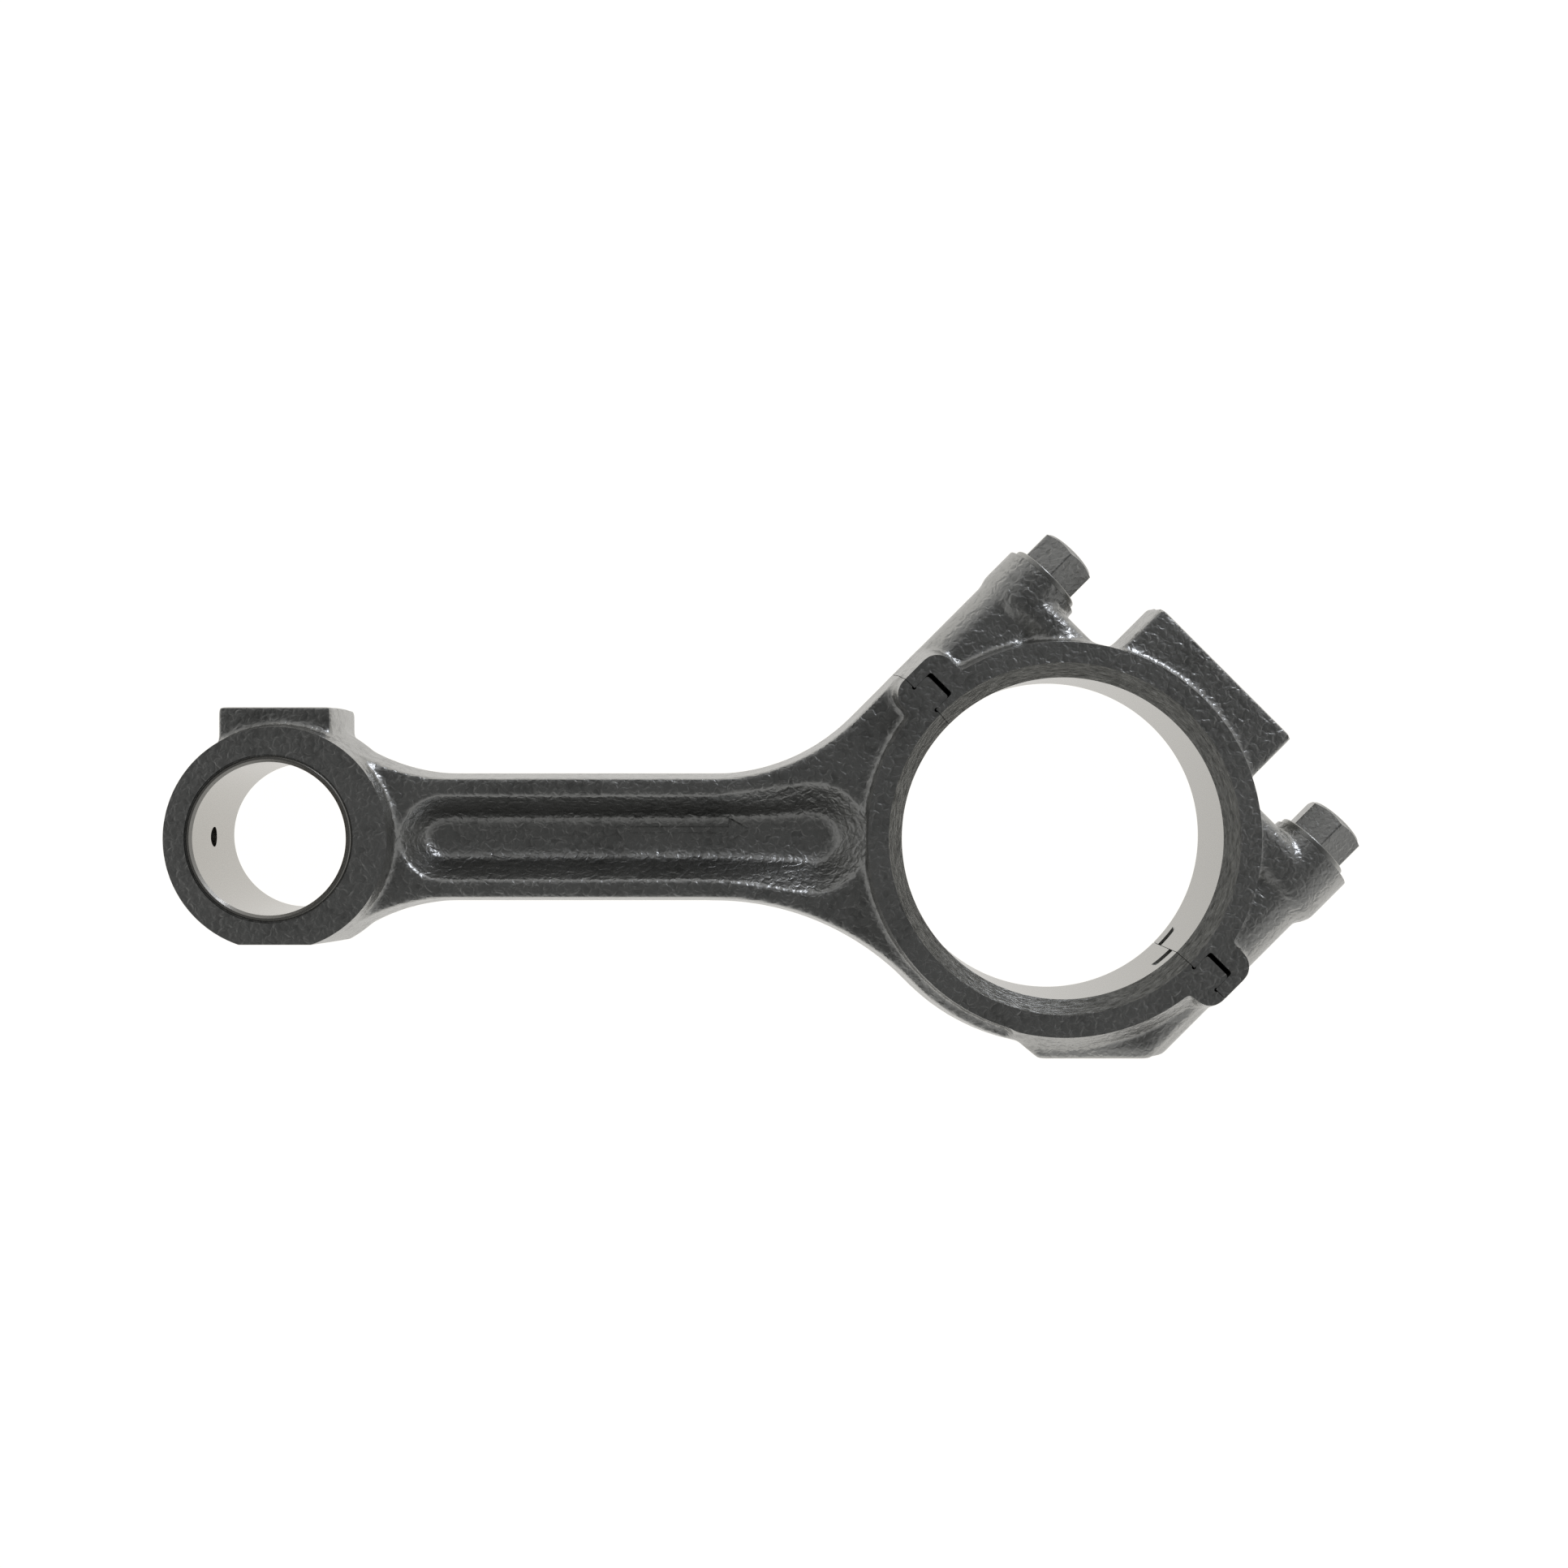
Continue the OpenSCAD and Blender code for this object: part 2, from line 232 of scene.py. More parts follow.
def settle(name):
    """Names the new primitive and puts its place, turn and size into its mesh."""
    obj = bpy.context.object
    obj.name = name
    obj.data.name = name
    bpy.ops.object.transform_apply(location=True, rotation=True, scale=True)
    return obj


def pick(obj, test, mode="VERT"):
    """Selects the vertices or edges whose place passes the test, in edit mode."""
    take(obj)
    bpy.ops.object.mode_set(mode="EDIT")
    bpy.ops.mesh.select_mode(type=mode)
    bpy.ops.mesh.select_all(action="DESELECT")
    bpy.ops.object.mode_set(mode="OBJECT")
    me = obj.data
    if mode == "VERT":
        for v in me.vertices:
            v.select = test(v.co / MM)
    else:
        for e in me.edges:
            e.select = test(*[me.vertices[i].co / MM for i in e.vertices])
    bpy.ops.object.mode_set(mode="EDIT")


def bolt_point(p, q):
    """A point given along and across the bolts, in metres."""
    c = math.sqrt(0.5)
    return Vector(((p - q) * c, (p + q) * c, 0)) * MM


def frustum(name, x, y, r_mid, r_top, top):
    """Round block on an upright axis whose wall leans from the parting plane to its top."""
    slope = (r_mid - r_top) / top
    deselect()
    bpy.ops.mesh.primitive_cone_add(
        vertices=160, radius1=(r_mid - slope * FOOT) * MM, radius2=r_top * MM,
        depth=(top - FOOT) * MM, location=(x * MM, y * MM, (top + FOOT) / 2 * MM))
    return settle(name)


def bake_turn(obj, turn):
    """Turns obj about the big bore and puts the turn into its mesh."""
    obj.rotation_euler.z = turn
    take(obj)
    bpy.ops.object.transform_apply(location=True, rotation=True, scale=True)
    return obj


def block(name, xs, ys, top, lean=(0.0, 0.0), turn=0.0, foot=FOOT):
    """Box whose upper face is drawn in by lean on each side, turned about the big bore."""
    deselect()
    extent = (xs[1] - xs[0], ys[1] - ys[0], top - foot)
    bpy.ops.mesh.primitive_cube_add(
        size=1, scale=[e * MM for e in extent],
        location=[(xs[0] + xs[1]) / 2 * MM, (ys[0] + ys[1]) / 2 * MM, (top + foot) / 2 * MM])
    obj = settle(name)
    if lean != (0.0, 0.0):
        share = top / (top - foot)
        # the foot grows by as much as the top shrinks, in proportion to its depth
        pick(obj, lambda v: v.z > top - 0.01)
        bpy.ops.transform.resize(
            value=[1 - 2 * lean[0] / extent[0], 1 - 2 * lean[1] / extent[1], 1])
        pick(obj, lambda v: v.z < foot + 0.01)
        down = (1 - share) / share
        bpy.ops.transform.resize(
            value=[1 + 2 * down * lean[0] / extent[0], 1 + 2 * down * lean[1] / extent[1], 1])
        bpy.ops.object.mode_set(mode="OBJECT")
    return bake_turn(obj, turn) if turn else obj


def slice_off(obj, point, normal):
    """Cuts away the side of obj that the normal points to, and closes the cut."""
    pick(obj, lambda v: True)
    bpy.ops.mesh.bisect(plane_co=[c * MM for c in point], plane_no=normal,
                        use_fill=True, clear_outer=True, threshold=1e-6)
    bpy.ops.object.mode_set(mode="OBJECT")
    return obj


def rod_along_bolt(name, q, r, p0, p1, r1=None):
    """Cylinder or cone along a bolt, from p0 to p1."""
    deselect()
    bpy.ops.mesh.primitive_cone_add(
        vertices=96, radius1=r * MM, radius2=(r if r1 is None else r1) * MM,
        depth=(p1 - p0) * MM, location=bolt_point((p0 + p1) / 2, q),
        rotation=(0, math.pi / 2, DIAGONAL))
    return settle(name)


def upright(name, x, y, r0, z0, z1, r1=None, vertices=192):
    """Cylinder or cone on an upright axis, from z0 to z1."""
    deselect()
    bpy.ops.mesh.primitive_cone_add(
        vertices=vertices, radius1=r0 * MM, radius2=(r0 if r1 is None else r1) * MM,
        depth=(z1 - z0) * MM, location=(x * MM, y * MM, (z0 + z1) / 2 * MM))
    return settle(name)


def apply_modifier(obj, kind, **settings):
    """Adds a modifier with its settings and applies it."""
    take(obj)
    mod = obj.modifiers.new(kind.lower(), kind)
    for key, value in settings.items():
        setattr(mod, key, value)
    bpy.ops.object.modifier_apply(modifier=mod.name)
    return obj


def combine(obj, tools, operation="UNION"):
    """Joins tools to obj, cuts them from it, or keeps what they share."""
    for tool in tools:
        before = (len(obj.data.vertices), len(obj.data.polygons))
        for solver in ("MANIFOLD", "EXACT"):
            apply_modifier(obj, "BOOLEAN", operation=operation, object=tool, solver=solver)
            if (len(obj.data.vertices), len(obj.data.polygons)) != before:
                break
        else:
            raise RuntimeError(f"{tool.name} does not meet {obj.name}")
        bpy.data.objects.remove(tool)
    return obj


def copy_of(obj, name):
    """A copy with its own mesh."""
    new = obj.copy()
    new.data = obj.data.copy()
    new.name = name
    new.data.name = name
    bpy.context.scene.collection.objects.link(new)
    return new


def bevel_edges(obj, test, width, segments):
    """Rounds the edges whose two ends pass the test."""
    pick(obj, test, "EDGE")
    bpy.ops.mesh.bevel(offset=width * MM, segments=segments, affect="EDGES")
    bpy.ops.object.mode_set(mode="OBJECT")
    return obj


def paint(obj, materials, rule):
    """Gives obj its materials, and each face the one that rule names for its place."""
    me = obj.data
    me.materials.clear()
    for m in materials:
        me.materials.append(m)
    names = [m.name for m in materials]
    for f in me.polygons:
        f.material_index = names.index(rule(f.center / MM, f.normal).name)


def shade(obj, angle=32):
    """Smooth shading with crisp machined edges, and flats that stay flat."""
    take(obj)
    bpy.ops.object.shade_smooth_by_angle(angle=math.radians(angle))
    apply_modifier(obj, "WEIGHTED_NORMAL", keep_sharp=True, weight=80)
    return obj


def clean(obj, gap=0.002):
    """Merges doubles and turns every face outwards."""
    pick(obj, lambda v: True)
    bpy.ops.mesh.remove_doubles(threshold=gap * MM)
    bpy.ops.mesh.normals_make_consistent(inside=False)
    bpy.ops.object.mode_set(mode="OBJECT")
    return obj


# ---------------------------------------------------------------- materials


def per_metre(size_mm):
    """Texture scale whose features are about size_mm across."""
    return 1.0 / (size_mm * MM)


def add(tree, kind, links=(), stops=None, **settings):
    """Adds a node, sets its properties, inputs and colour stops, and links its inputs."""
    node = tree.nodes.new(kind)
    for i, (place, tone) in enumerate((stops or {}).items()):
        ends = node.color_ramp.elements
        stop = ends[i] if i < 2 else ends.new(place)
        stop.position, stop.color = place, tone
    for key, value in settings.items():
        if key in node.inputs:
            node.inputs[key].default_value = value
        else:
            setattr(node, key, value)
    for target, source in links:
        tree.links.new(source, node.inputs[target])
    return node


def new_material(name):
    """An empty node material and its tree."""
    mat = bpy.data.materials.new(name)
    mat.use_nodes = True
    mat.node_tree.nodes.clear()
    return mat, mat.node_tree


def finish_steel(tree, colour, roughness, normal):
    """Bare metal with that colour, roughness and bump."""
    shader = add(tree, "ShaderNodeBsdfPrincipled",
                 [("Base Color", colour), ("Roughness", roughness), ("Normal", normal)],
                 Metallic=1.0)
    add(tree, "ShaderNodeOutputMaterial", [("Surface", shader.outputs["BSDF"])])


def shades(colour, spread):
    """A darker and a lighter tone of one of the steel colours."""
    base = getattr(bpy.context.scene.steel_colours, colour)
    return [[c * k for c in base[:3]] + [1.0] for k in (1 - spread, 1 + spread)]


def grained_steel(name, colour, spread, dent_mm, dent_depth, grit_mm, grit_depth, rough):
    """Steel with shallow dents of one size, finer grit in them, and a patchy oxide tone."""
    mat, tree = new_material(name)
    dark, light = shades(colour, spread)
    place = add(tree, "ShaderNodeTexCoord").outputs["Object"]
    dents = add(tree, "ShaderNodeTexNoise", [("Vector", place)],
                Scale=per_metre(dent_mm), Detail=1.5, Roughness=0.45, Distortion=0.6)
    grit = add(tree, "ShaderNodeTexNoise", [("Vector", place)],
               Scale=per_metre(grit_mm), Detail=2.0, Roughness=0.5)
    cloud = add(tree, "ShaderNodeTexNoise", [("Vector", place)],
                Scale=per_metre(22), Detail=3.0, Roughness=0.6)
    tone = add(tree, "ShaderNodeMath",
               [(0, dents.outputs["Fac"]), (1, cloud.outputs["Fac"])], operation="ADD")
    hue = add(tree, "ShaderNodeValToRGB", [("Fac", tone.outputs[0])],
              stops={0.7: dark, 1.0: light})
    gloss = add(tree, "ShaderNodeMapRange", [("Value", cloud.outputs["Fac"])])
    gloss.inputs["To Min"].default_value, gloss.inputs["To Max"].default_value = rough
    low = add(tree, "ShaderNodeBump", [("Height", dents.outputs["Fac"])],
              Strength=1.0, Distance=dent_depth * MM)
    fine = add(tree, "ShaderNodeBump",
               [("Height", grit.outputs["Fac"]), ("Normal", low.outputs["Normal"])],
               Strength=1.0, Distance=grit_depth * MM)
    finish_steel(tree, hue.outputs["Color"], gloss.outputs["Result"], fine.outputs["Normal"])
    return mat


def turned_steel(name, colour, spread, feed_mm, depth, rough, centre, streak_mm):
    """Machined steel with fine streaks around an upright axis through the centre."""
    mat, tree = new_material(name)
    dark, light = shades(colour, spread)
    place = add(tree, "ShaderNodeTexCoord").outputs["Object"]
    moved = add(tree, "ShaderNodeMapping", [("Vector", place)],
                Location=[-c * MM for c in centre])
    split = add(tree, "ShaderNodeSeparateXYZ", [("Vector", moved.outputs["Vector"])])
    flat = add(tree, "ShaderNodeCombineXYZ",
               [("X", split.outputs["X"]), ("Y", split.outputs["Y"])])
    radius = add(tree, "ShaderNodeVectorMath", [(0, flat.outputs["Vector"])],
                 operation="LENGTH")
    angle = add(tree, "ShaderNodeMath",
                [(0, split.outputs["Y"]), (1, split.outputs["X"])], operation="ARCTAN2")
    sweep = add(tree, "ShaderNodeMath", [(0, angle.outputs[0])], operation="MULTIPLY")
    sweep.inputs[1].default_value = streak_mm * MM
    ring = add(tree, "ShaderNodeCombineXYZ",
               [("X", radius.outputs["Value"]), ("Y", sweep.outputs[0]),
                ("Z", split.outputs["Z"])])
    marks = add(tree, "ShaderNodeTexNoise", [("Vector", ring.outputs["Vector"])],
                Scale=per_metre(feed_mm), Detail=2.0, Roughness=0.6, Distortion=0.4)
    hue = add(tree, "ShaderNodeValToRGB", [("Fac", marks.outputs["Fac"])],
              stops={0.3: dark, 0.7: light})
    gloss = add(tree, "ShaderNodeMapRange", [("Value", marks.outputs["Fac"])])
    gloss.inputs["To Min"].default_value, gloss.inputs["To Max"].default_value = rough
    cut = add(tree, "ShaderNodeBump", [("Height", marks.outputs["Fac"])],
              Strength=1.0, Distance=depth * MM)
    finish_steel(tree, hue.outputs["Color"], gloss.outputs["Result"], cut.outputs["Normal"])
    return mat


MATERIALS = {}


def material(name):
    """The finish of that name, made once."""
    if name not in MATERIALS:
        MATERIALS[name] = FINISHES[name]()
    return MATERIALS[name]


FINISHES = {
    # Drop-forged steel, shot-blasted and oiled: shallow overlapping dents that break each
    # highlight into small patches, on dark grey
    "shot_blasted_forging": lambda: grained_steel(
        "shot_blasted_forging", "forging", 0.18, 1.7, 0.36, 0.5, 0.02, (0.28, 0.38)),
    # The same steel ground flat and then tumbled: the dents are shallower, the tone more even
    "ground_side_face": lambda: grained_steel(
        "ground_side_face", "faced", 0.16, 1.7, 0.33, 0.5, 0.02, (0.3, 0.4)),
    # Bored steel: bright, with hardly visible rings
    "bored_steel": lambda: turned_steel(
        "bored_steel", "bored", 0.06, 0.8, 0.008, (0.24, 0.32), (0, 0, 0), 40),
    # Chamfer turned with a coarse feed: short streaks run round it and tear the light. Its colour
    # is darker than the forging's: painted shade on the bevel
    "turned_chamfer": lambda: turned_steel(
        "turned_chamfer", "chamfer", 0.4, 0.55, 0.18, (0.3, 0.42), (0, 0, 0), 9),
    # Joint faces and bolt seats, ground: plain mid grey with a fine grain
    "ground_joint_face": lambda: grained_steel(
        "ground_joint_face", "faced", 0.08, 0.9, 0.03, 0.3, 0.01, (0.3, 0.4)),
    # Quenched and tempered bolt steel, blasted and oiled: smaller, shallower dents
    "oiled_bolt_steel": lambda: grained_steel(
        "oiled_bolt_steel", "bolt", 0.12, 1.5, 0.28, 0.4, 0.015, (0.3, 0.4)),
    # Hardened washer, ground bright
    "hardened_washer_steel": lambda: grained_steel(
        "hardened_washer_steel", "washer", 0.08, 1.2, 0.04, 0.3, 0.01, (0.28, 0.36)),
    # Bush bored after pressing: smooth warm grey metal with faint rings
    "bored_bush_metal": lambda: turned_steel(
        "bored_bush_metal", "bush", 0.05, 0.9, 0.006, (0.22, 0.3), (SMALL_X, 0, 0), 30),
}


# ---------------------------------------------------------------- forging blank


def voxel_size():
    return 0.8


def flare(name, xs, ys, centre, r):
    """Web corner whose outer wall is scooped by a leaning round."""
    piece = block(name, xs, ys, size("flange_top"))
    scoop = frustum("scoop", centre[0], centre[1], r, r + size("lean"), size("flange_top"))
    apply_modifier(scoop, "TRIANGULATE")
    return combine(piece, [scoop], "DIFFERENCE")


def flares():
    """The four concave corners between the shank and the two ends."""
    upper = flare("upper_flare", (-91, -53.5), (-2, 32), (-90, 67.6), 50.8)
    slab = block("upper_flare_side", (-40, 1), (25, 60.6), size("flange_top"),
                 (0, size("lean")), DIAGONAL)
    lower = flare("lower_flare", (-91, -39), (-39, 2), (-90, -87.6), 70.7)
    small = block("small_flare", (-187, -156), (-26, 26), size("flange_top"))
    for side in (-1, 1):
        scoop = frustum("scoop", -157, side * 65.8, 49, 49 + size("lean"), size("flange_top"))
        combine(small, [scoop], "DIFFERENCE")
    return [upper, slab, lower, small]


def lug(side):
    """Lug at one side of the joint, with leaning walls and round corners."""
    grow = (LUG_MID - LUG_FACE) * (HALF_WIDTH + size("stock")) / HALF_WIDTH
    ends = (LUG_LOW - 2, LUG_HIGH + 2)
    across = sorted((side * 20, side * LUG_MID))
    piece = block("lug", ends, across, HALF_WIDTH + size("stock"), (2, grow))
    bevel_edges(piece, lambda a, b: abs(a.z - b.z) > 5 and side * (a.y + b.y) / 2 > LUG_FACE - 6,
                4.5, 6)
    return bake_turn(piece, DIAGONAL)


def wrap():
    """Flange that runs under the ring from the lower flare to the pad."""
    disc = frustum("wrap", 0, 0, 54.9, 54.9 - size("lean"), size("flange_top"))
    window = block("window", (-60, -2), (-60, -18), 40, foot=-40)
    return combine(disc, [window], "INTERSECT")


def saddle(side, reach, top, front):
    """Level web from a bolt seat to the ring, sloped at its front, rounded over at its end."""
    web = block("saddle", (front - 4, 42.4), sorted((side * 22, side * reach)), top, turn=DIAGONAL)
    c = front * math.sqrt(0.5)
    slice_off(web, (c, c, top), (-0.424, -0.424, 0.8))
    return bevel_edges(
        web, lambda a, b: min(a.z, b.z) > top - 0.1 and min(a.x + a.y, b.x + b.y) > 59, 4.2, 6)


def rod_pad():
    """Pad under the big end: a sloped wall down from the ring, then a rim that falls away."""
    top = HALF_WIDTH + size("stock")
    pad, wall = [block(name, (-13, 42), (-57.5, -25), height)
                 for name, height in (("rod_pad", 11.9), ("rod_pad_wall", top))]
    for piece in (pad, wall):
        slice_off(piece, (-5.4, -57.5, 0), (-0.65, -0.76, 0))
        slice_off(piece, (23.4, -57.5, 0), (0.7071, -0.7071, 0))
    slice_off(pad, (0, -54.2, 11.9), (0, -0.5, 0.866))
    slice_off(pad, (25.6, -51.6, 11.9), (0.39, -0.39, 0.83))
    cone = frustum("cone", 0, 0, 61, 49.9, top)
    combine(wall, [cone], "INTERSECT")
    return combine(pad, [wall])


def blank(voxel):
    """The whole forging: rod and cap in one, with rounded corners everywhere."""
    top = HALF_WIDTH + size("stock")
    half = size("bolt_half")
    low = -half - LOWER_SEAT_SHIFT
    ring_top = size("ring_mid") - (size("ring_mid") - size("ring_face")) * top / HALF_WIDTH
    eye_top = size("eye_mid") - (size("eye_mid") - size("eye_face")) * top / HALF_WIDTH
    body = block("forging", (-200, -40), (-size("shank_half"), size("shank_half")),
                 size("flange_top"), (0, size("lean")))
    parts = [
        frustum("ring", 0, 0, size("ring_mid"), ring_top, top),
        frustum("eye", SMALL_X + EYE_SHIFT, 0, size("eye_mid"), eye_top, top),
        block("eye_pad", (-217.9, -187.8), (-5, 34.0), size("pad_top"), (0.4, 0.2)),
        block("cap_pad", (38, 60.6), (-25.1, 25.1), size("pad_top"), (0.2, 1.5), DIAGONAL),
        rod_pad(), wrap(), lug(1), lug(-1), *flares(),
        slice_off(rod_along_bolt("upper_boss", half, BOSS_R, -20, 44),
                  (0, 0, 9.5), (0, 0, 1)),
        rod_along_bolt("upper_seat_step", half, 10.4, 32.4, 35.2, r1=UPPER_SEAT_R),
        rod_along_bolt("upper_seat_boss", half, UPPER_SEAT_R, 35, size("seat") + 1.5),
        saddle(1, 50, UPPER_SEAT_R, 35.2), saddle(-1, 51, LOWER_SEAT_R, 32.2),
        slice_off(rod_along_bolt("lower_boss", -half, BOSS_R, -24, 44),
                  (0, -57.4, 0), (0, -1, 0)),
        rod_along_bolt("lower_seat_step", low, BOSS_R, 29.4, 32.2, r1=LOWER_SEAT_R),
        rod_along_bolt("lower_seat_boss", low, LOWER_SEAT_R, 32, size("seat") + 1.5),
    ]
    combine(body, parts)
    combine(body, pocket(), "DIFFERENCE")
    combine(body, [block("below", (-300, 150), (-150, 150), -0.05, foot=-BEYOND)], "DIFFERENCE")
    underside = copy_of(body, "underside")
    take(underside)
    bpy.ops.transform.mirror(constraint_axis=(False, False, True), center_override=(0, 0, 0))
    settle("underside")
    clean(underside)
    combine(body, [underside])
    apply_modifier(body, "REMESH", mode="VOXEL", voxel_size=voxel * MM, adaptivity=0.0)
    apply_modifier(body, "SMOOTH", factor=0.5, iterations=round(9 / voxel ** 2 * 0.5))
    hollow = body.vertex_groups.new(name="pocket")
    # the pockets are smoothed more, so that their floors run into their walls
    inside = [v.index for v in body.data.vertices
              if -171 * MM < v.co.x < -52 * MM and abs(v.co.y) < 14 * MM
              and abs(v.co.z) < (size("flange_top") - 0.7) * MM]
    hollow.add(inside, 1.0, "REPLACE")
    apply_modifier(body, "SMOOTH", factor=0.5, iterations=round(18 / voxel ** 2),
                   vertex_group="pocket")
    body.vertex_groups.clear()
    return body


def pocket():
    """Cutters for the pockets in both sides of the shank, one end wider than the other."""
    floor = round(size("pocket_floor"), 3)  # rounded, because it lies on a row of voxels
    small, mid, big = -160.0, -92.0, -64.0
    reach = size("flange_top") + 2
    grow = (reach - floor) / (size("flange_top") - floor)
    lip, big_lip, base, big_base = 10.9, 14.4, 5.2, 6.2
    top_lip, top_big = base + (lip - base) * grow, big_base + (big_lip - big_base) * grow
    cutters = [upright("pocket_end", small, 0, base, floor, reach, top_lip, 96),
               upright("pocket_root", big, 0, big_base, floor, reach, top_big, 96)]
    for ends, halves in (((small, mid), (base, top_lip, base, top_lip)),
                         ((mid, big), (base, top_lip, big_base, top_big))):
        trough = block("trough", ends, (-1, 1), reach, foot=floor)
        for x, z, half in zip((ends[0], ends[0], ends[1], ends[1]),
                              (floor, reach, floor, reach), halves):
            pick(trough, lambda v: abs(v.x - x) < 0.01 and abs(v.z - z) < 0.01)
            bpy.ops.transform.resize(value=(1, half, 1))
            bpy.ops.object.mode_set(mode="OBJECT")
        cutters.append(trough)
    return cutters


def arrow():
    """Plain arrow mark raised from the floor of the upper pocket."""
    shaft = block("arrow", (-112, -86), (1.4, 2.6), 4.75, foot=2)
    deselect()
    bpy.ops.mesh.primitive_cone_add(
        vertices=3, radius1=3.4 * MM, radius2=3.4 * MM, depth=2.75 * MM,
        location=(-84.4 * MM, 2 * MM, 3.375 * MM), rotation=(0, 0, -math.pi / 2))
    head = settle("arrow_head")
    return combine(shaft, [head])


# ---------------------------------------------------------------- machining


def half_space(name, sign):
    """Everything on one side of the joint, and half the hair's breadth that parts it."""
    return block(name, sorted((-sign * SPLIT / 2, sign * 260)), (-200, 200), BEYOND,
                 turn=DIAGONAL, foot=-BEYOND)


def joint_bar(name, side, p0, p1, play):
    """Bar of the tongue's section along the joint, with rounded upper corners."""
    mid = side * TONGUE_Q
    bar = block(name, (p0, p1), (mid - TONGUE_HALF - play, mid + TONGUE_HALF + play), 40, foot=-40)
    bevel_edges(bar, lambda a, b: abs(a.z - b.z) > 5 and (a.x + b.x) / 2 > p1 - 0.01, 0.7, 3)
    return bake_turn(bar, DIAGONAL)


def corner_relief(q, p):
    """Small round relief in an inner corner of the joint."""
    at = bolt_point(p, q) / MM
    return upright("relief", at.x, at.y, 0.55, -40, 40, vertices=24)


def split_cutter_for_rod():
    """What is taken off the blank to leave the rod: the cap's side, but for the tongues."""
    cutter = half_space("cap_side", 1)
    combine(cutter, [joint_bar("tongue", s, -1, size("tongue"), 0) for s in (1, -1)], "DIFFERENCE")
    edge = TONGUE_HALF + 0.25
    combine(cutter, [corner_relief(s * TONGUE_Q + way * edge, 0.05)
                     for s in (1, -1) for way in (1, -1)])
    return cutter


def split_cutter_for_cap():
    """What is taken off the blank to leave the cap: the rod's side and the grooves."""
    cutter = half_space("rod_side", -1)
    combine(cutter, [joint_bar("groove", s, -1, size("groove"), 0.06) for s in (1, -1)])
    return cutter


def big_bore_cutters():
    """Tools for the big bore and the chamfers at its mouths."""
    depth, wide = CHAMFER_DEPTH, size("chamfer")
    out = HALF_WIDTH + size("stock") + 1
    far = BORE_R + wide * (out - HALF_WIDTH + depth) / depth
    return [upright("bore", 0, 0, BORE_R, -30, 30, vertices=256),
            upright("chamfer", 0, 0, BORE_R, HALF_WIDTH - depth, out, far, 256),
            upright("chamfer", 0, 0, far, -out, depth - HALF_WIDTH, BORE_R, 256)]


def side_face_cutters():
    """Slabs that bring both ends to their width."""
    return [block("facing", (-260, 90), (-100, 100), BEYOND, foot=HALF_WIDTH),
            block("facing", (-260, 90), (-100, 100), -HALF_WIDTH, foot=-BEYOND)]


def tang_notch(z, width, keep):
    """Cutter for a bearing tang, milled in from the joint face on one side only."""
    at = bolt_point(0, -(BORE_R + NOTCH_DEPTH - NOTCH_R)) / MM
    disc = upright("notch", at.x, at.y, NOTCH_R, z - width / 2, z + width / 2, vertices=96)
    return combine(disc, [half_space("side", keep)], "INTERSECT")


def machined_blank():
    """Forging blank after facing and boring, still in one piece."""
    body = blank(voxel_size())
    combine(body, [arrow()])
    combine(body, side_face_cutters(), "DIFFERENCE")
    combine(body, big_bore_cutters(), "DIFFERENCE")
    combine(body, [
        block("eye_flat", (-260, -160), (-60, EYE_FLAT), BEYOND, foot=-BEYOND),
        upright("eye_bore", SMALL_X, 0, size("bush_r"), -30, 30, vertices=192),
        upright("edge_groove", SMALL_X, 0, size("bush_r") + 0.4, HALF_WIDTH - 0.9, 30),
        upright("edge_groove", SMALL_X, 0, size("bush_r") + 0.4, -30, 0.9 - HALF_WIDTH),
    ], "DIFFERENCE")
    for q in (size("bolt_half"), -size("bolt_half")):
        seat = rod_along_bolt("seat", q, 16, size("seat"), size("seat") + 20)
        combine(body, [seat], "DIFFERENCE")
    return body


def oil_drill():
    """Drill for the oil hole at the end of the eye."""
    deselect()
    bpy.ops.mesh.primitive_cylinder_add(
        vertices=64, radius=size("oil_r") * MM, depth=OIL_WAY * MM,
        location=((SMALL_X - 26) * MM, 0, 0), rotation=(0, math.pi / 2, 0))
    return settle("oil_drill")


def surface_rule(co, normal):
    """Which finish a face of the rod or the cap has, from its place and its slope."""
    flat = math.hypot(co.x, co.y)
    eye = math.hypot(co.x - SMALL_X, co.y)
    p, q = (co.x + co.y) * math.sqrt(0.5), (co.y - co.x) * math.sqrt(0.5)
    if abs(abs(co.z) - HALF_WIDTH) < 0.01 and abs(normal.z) > 0.99:
        return material("ground_side_face")
    if abs(flat - BORE_R) < 0.06 and abs(normal.z) < 0.05:
        return material("bored_steel")
    # the chamfer's steel carries painted shade in its darker colour
    if -0.02 < flat - BORE_R < size("chamfer") + 0.1 and 0.5 < abs(normal.z) < 0.95:
        return material("turned_chamfer")
    if eye < size("bush_r") + 0.5 and abs(normal.z) < 0.9:
        return material("ground_joint_face")
    if abs(co.y - EYE_FLAT) < 0.01 and normal.y < -0.99:
        return material("ground_side_face")
    along = (normal.x + normal.y) * math.sqrt(0.5)
    if abs(p - size("seat")) < 0.01 and along > 0.99:
        return material("ground_joint_face")
    if (-26 < p < size("groove") + 0.1 and abs(along) > 0.9 and 40 < abs(q)
            and abs(normal.z) < 0.02):
        return material("ground_joint_face")
    return material("shot_blasted_forging")


ROD_FINISHES = ("shot_blasted_forging", "ground_side_face", "bored_steel", "turned_chamfer",
                "ground_joint_face")


def finish_forging(obj, body, node):
    """Gives the rod or the cap its finishes and its place in the frame."""
    apply_modifier(obj, "TRIANGULATE")
    clean(obj)
    paint(obj, [material(n) for n in ROD_FINISHES], surface_rule)
    shade(obj)
    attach(obj, body)
    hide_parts(node)


